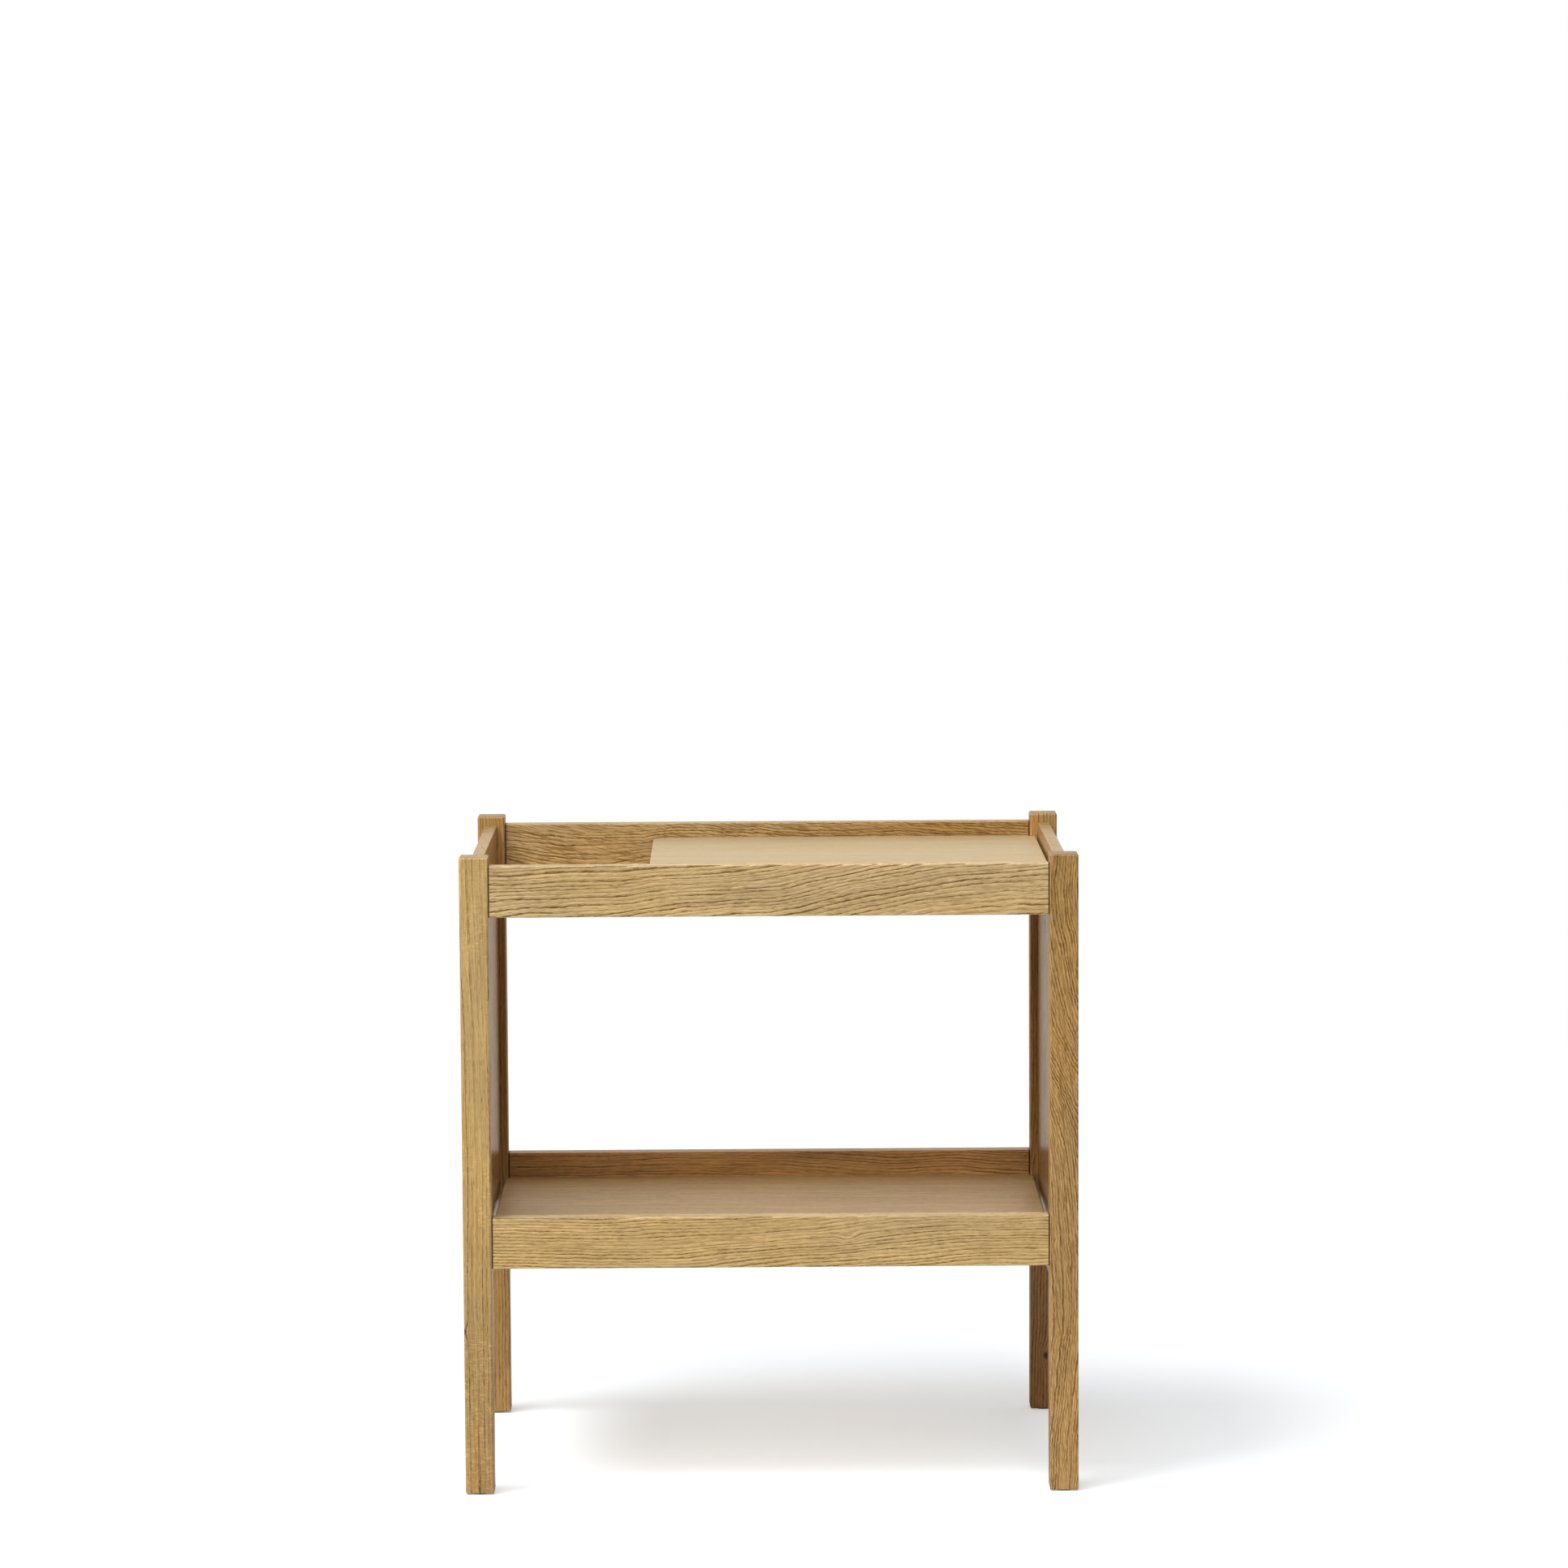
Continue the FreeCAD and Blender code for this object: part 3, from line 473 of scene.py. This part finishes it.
BOARDS = {
    "upper_rail_front": dict(
        RAIL, seed=1.3, light=LIGHT, pith=(-70, 50), pitch=3.0,
        slope=-0.015, rise=-15.0, rise_at=40.0, wave=0.7, ripple=1.0, tilt=0.09,
        contrast=1.0, pores=0.95, painted_joint_shade=0.9),
    "lower_rail_front": dict(
        RAIL, seed=8.9, light=RAIL_LIGHT, pith=(-75, 40), pitch=2.6,
        slope=-0.01, rise=-8.0, rise_at=80.0, wave=0.4, ripple=0.7, tilt=0.04,
        contrast=0.8, pores=0.9, knot=(75, 4, -9), knot_size=2.2, painted_joint_shade=0.95),
    "upper_rail_back": dict(
        RAIL, seed=15.2, light=BACK_LIGHT, dark=BACK_DARK, pith=(-60, -60), pitch=2.8,
        slope=0.03, wave=0.9, ripple=1.2, tilt=-0.20,
        contrast=1.0, pores=1.0, streak=0.8, painted_joint_shade=0.9, painted_shade_high=(0.86, 0.76, 0.56)),
    "lower_rail_back": dict(
        RAIL, seed=22.7, light=BROWN_LIGHT, dark=BROWN_DARK, pith=(-55, -60), pitch=2.6,
        slope=0.02, wave=0.5, ripple=0.8, tilt=0.03,
        contrast=1.0, mottle=0.8, painted_joint_shade=0.95),
    "leg_front_left": dict(
        LEG, seed=31.4, light=LEG_LIGHT, dark=LEG_DARK, pith=(-95, 12), pitch=4.4,
        slope=0.008, wave=0.22, ripple=0.35,
        contrast=0.5, pores=0.85, streak=0.22, flecks=1.5, flecks_below=-150.0,
        knot=(-152, -13, -14), knot_size=2.0, knot_dark=0.7, painted_shade_low=(0.70, 0.645, 0.58)),
    "leg_front_right": dict(
        LEG, seed=37.8, light=GOLD_LIGHT, pore=RED_PORE, pith=(-60, 50), pitch=1.9,
        slope=-0.08, rise=50.0, rise_at=110.0, wave=0.6, ripple=1.3, tilt=-0.12,
        contrast=0.8, pores=0.85, streak=0.8),
    "leg_back_left": dict(
        LEG, seed=43.1, pith=(-80, -40), pitch=3.2, slope=0.01, wave=0.4, ripple=0.9),
    "leg_back_right": dict(
        LEG, seed=49.6, pith=(-70, -50), pitch=2.8, slope=-0.02, wave=0.5, ripple=1.0,
        knot=(-257, 2, -14), knot_size=2.6, knot_dark=0.98, painted_shade_low=(0.90, 0.76, 0.70)),
    "side_panel_left": dict(PANEL, seed=55.3, pith=(-20, 90)),
    "side_panel_right": dict(PANEL, seed=61.9, pith=(30, -90), painted_shade_low=(0.72, 0.70, 0.70)),
    "sliding_lid": dict(
        FLAT, seed=67.5, light=PALE_LIGHT, dark=PALE_DARK, pith=(300, 90), pitch=2.6,
        wave=0.4, ripple=0.4, contrast=0.55, pores=0.4, fibre=0.6, mottle=0.16, roughness=0.36),
    "shelf_board": dict(
        FLAT, seed=73.2, light=SHELF_LIGHT, dark=SHELF_DARK, pith=(-280, 80), pitch=3.0,
        wave=0.5, ripple=0.5, contrast=0.8, pores=0.6, fibre=1.0, mottle=0.22, roughness=0.40,
        painted_joint_shade=0.6),
    "tray_floor": dict(
        FLAT, seed=79.8, light=TRAY_LIGHT, dark=TRAY_DARK, pith=(260, 70), pitch=2.8,
        wave=0.5, ripple=0.5, contrast=0.7, pores=0.5, fibre=0.9, mottle=0.2, roughness=0.38),
    "lid_runner_front": dict(RUNNER, seed=97.3),
    "lid_runner_back": dict(RUNNER, seed=103.9),
}
for board, look in BOARDS.items():
    dress(board, oak_material(board, **look))

steel = steel_material()
for node in ("tray_floor_screws", "lid_screws", "glide_nails"):
    dress(node, steel)
beech = beech_material()
for node in ("rail_dowels", "panel_dowels"):
    dress(node, beech)
dress("lid_felt_strips", felt_material())
dress("foot_glides", glide_material())


# ---------------------------------------------------------------- floor, light and camera

WHITE = (1.0, 1.0, 1.0, 1.0)

FLOOR_HALF_WIDTH, FLOOR_HALF_DEPTH, FLOOR_BACK = 2.2, 2.0, 0.7
FLOOR_COLOR, FLOOR_MIRRORED = (0.765, 0.802, 0.842, 1.0), (0.84, 0.73, 0.62, 1.0)
FLOOR_LIFT = 0.435

SKY_MATT, SKY_GLOSS = (0.06, 0.45), (0.10, 0.74)    # behind the camera, beyond the table
SKY_TURN = (-0.15, 0.35)                            # forward part of the direction between them
SKY_MIRRORED = (1.0, 0.89, 0.74, 1.0)
HORIZON, GLOSS_ABOVE_IT = (0.0, 0.15), (1.0, 1.5)

KEY_FROM, KEY_STRENGTH, KEY_ANGLE = (-0.58 * 3, -0.27 * 3, 3.0), 1.75, 28.0
FILL_FROM, FILL_TOWARDS, FILL_SIZE, FILL_WATTS = (-0.7, -2.7, 2.9), (0.0, 0.0, 0.35), 3.4, 112.0

CAMERA_PLACE = (-0.015894, -5.4345, 1.22809)
CAMERA_PITCH, CAMERA_YAW, CAMERA_ROLL = 0.100953, -0.00595079, -0.00546889
CAMERA_LENS, CAMERA_SENSOR, CAMERA_FAR = 125.038, 36.0, 50.0


def make_floor():
    """White paper. To the camera it is lifted to white; in mirror images it is warmer."""
    shape = bmesh.new()
    bmesh.ops.create_grid(shape, x_segments=2, y_segments=2, size=1.0)
    for vert in shape.verts:
        vert.co = Vector((vert.co.x * FLOOR_HALF_WIDTH, FLOOR_BACK + vert.co.y * FLOOR_HALF_DEPTH,
                          cad_low.z))
    mesh = bpy.data.meshes.new("studio_floor")
    shape.to_mesh(mesh)
    shape.free()
    floor = bpy.data.objects.new("studio_floor", mesh)
    bpy.context.scene.collection.objects.link(floor)
    mat = bpy.data.materials.new("studio_paper")
    mat.use_nodes = True
    mat.node_tree.nodes.clear()
    net = Net(mat.node_tree)
    paper = net.node("ShaderNodeBsdfDiffuse")
    rays = net.node("ShaderNodeLightPath").outputs
    net.put(paper.inputs["Color"], net.mix(rays["Is Glossy Ray"], FLOOR_COLOR, FLOOR_MIRRORED))
    lift = net.node("ShaderNodeEmission")
    lift.inputs["Color"].default_value = WHITE
    net.put(lift.inputs["Strength"], net.math("MULTIPLY", rays["Is Camera Ray"], FLOOR_LIFT))
    both = net.node("ShaderNodeAddShader")
    net.put(both.inputs[0], paper.outputs[0])
    net.put(both.inputs[1], lift.outputs[0])
    net.put(net.node("ShaderNodeOutputMaterial").inputs["Surface"], both.outputs[0])
    mesh.materials.append(mat)


def make_world():
    """White to the camera; a soft light from beyond the table, stronger and warmer in gloss."""
    world = bpy.data.worlds.new("white_studio")
    bpy.context.scene.world = world
    world.use_nodes = True
    world.node_tree.nodes.clear()
    net = Net(world.node_tree)
    ahead, above = net.split(net.node("ShaderNodeTexCoord").outputs["Generated"])[1:]
    rays = net.node("ShaderNodeLightPath").outputs
    matt = net.remap(ahead, *SKY_TURN, *SKY_MATT)
    gloss = net.remap(ahead, *SKY_TURN, *SKY_GLOSS)
    gloss = net.math("MULTIPLY", gloss, net.remap(above, *HORIZON, *GLOSS_ABOVE_IT))
    gloss = net.math("MULTIPLY", gloss, rays["Is Glossy Ray"])
    level = net.math("MAXIMUM", net.math("MAXIMUM", matt, gloss), rays["Is Camera Ray"])
    sky = net.node("ShaderNodeBackground")
    net.put(sky.inputs["Color"], net.mix(rays["Is Glossy Ray"], WHITE, SKY_MIRRORED))
    net.put(sky.inputs["Strength"], level)
    net.put(net.node("ShaderNodeOutputWorld").inputs["Surface"], sky.outputs[0])


def aim(thing, place, towards):
    thing.location = place
    thing.rotation_euler = (Vector(towards) - Vector(place)).to_track_quat("-Z", "Y").to_euler()


def make_lights():
    """A wide soft sun from the upper left and a large softbox in front."""
    key = bpy.data.lights.new("key", "SUN")
    key.energy = KEY_STRENGTH
    key.angle = math.radians(KEY_ANGLE)
    key_object = bpy.data.objects.new("key", key)
    bpy.context.scene.collection.objects.link(key_object)
    aim(key_object, KEY_FROM, (0.0, 0.0, 0.0))

    fill = bpy.data.lights.new("front_softbox", "AREA")
    fill.shape = "SQUARE"
    fill.size = FILL_SIZE
    fill.energy = FILL_WATTS
    fill_object = bpy.data.objects.new("front_softbox", fill)
    bpy.context.scene.collection.objects.link(fill_object)
    aim(fill_object, FILL_FROM, FILL_TOWARDS)


def make_camera():
    """Camera at the place fitted to the photo, with its pitch (down), yaw and roll in radians."""
    place = Vector(CAMERA_PLACE)
    pitch, yaw, roll = CAMERA_PITCH, CAMERA_YAW, CAMERA_ROLL
    side = Vector((math.cos(yaw), math.sin(yaw), 0.0))
    look = Vector((-math.cos(pitch) * math.sin(yaw),
                   math.cos(pitch) * math.cos(yaw),
                   -math.sin(pitch)))
    over = Vector((-math.sin(pitch) * math.sin(yaw),
                   math.sin(pitch) * math.cos(yaw),
                   math.cos(pitch)))
    right = math.cos(roll) * side + math.sin(roll) * over
    up = math.cos(roll) * over - math.sin(roll) * side
    lens = bpy.data.cameras.new("camera")
    lens.sensor_width = CAMERA_SENSOR
    lens.lens = CAMERA_LENS
    lens.clip_end = CAMERA_FAR
    camera = bpy.data.objects.new("camera", lens)
    bpy.context.scene.collection.objects.link(camera)
    camera.matrix_world = Matrix(((right.x, up.x, -look.x, place.x),
                                  (right.y, up.y, -look.y, place.y),
                                  (right.z, up.z, -look.z, place.z),
                                  (0.0, 0.0, 0.0, 1.0)))
    bpy.context.scene.camera = camera


make_floor()
make_world()
make_lights()
make_camera()
bpy.context.scene.view_settings.view_transform = "Standard"
